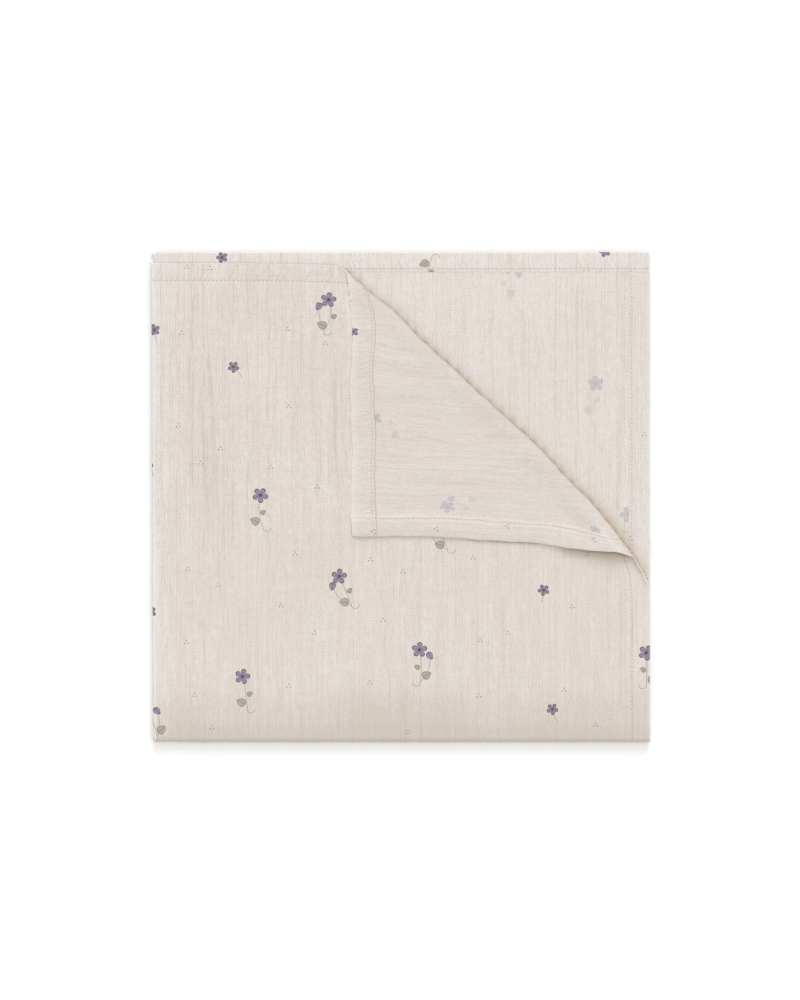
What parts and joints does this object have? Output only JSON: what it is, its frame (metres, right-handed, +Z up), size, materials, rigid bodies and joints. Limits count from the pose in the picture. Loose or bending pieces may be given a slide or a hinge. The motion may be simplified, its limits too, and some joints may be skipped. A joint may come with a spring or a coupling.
{
  "type": "swaddle blanket",
  "caption": "Thin square cotton muslin cloth with stitched hems, folded in quarters with its top corner turned down, for wrapping a baby.",
  "frame": {"origin": "middle of the folded packet's outline, on the surface that it lies on", "axes": "+Z up, +X towards the side hems (right in the usual view), +Y towards the far hems, away from the second fold"},
  "size_m": [0.5508, 0.54, 0.0245],
  "materials": {
    "muslin": "matte crinkled gauze, printed on one side"
  },
  "bodies": {
    "root": {"swaddle_blanket": "muslin"}
  },
  "joints": []
}
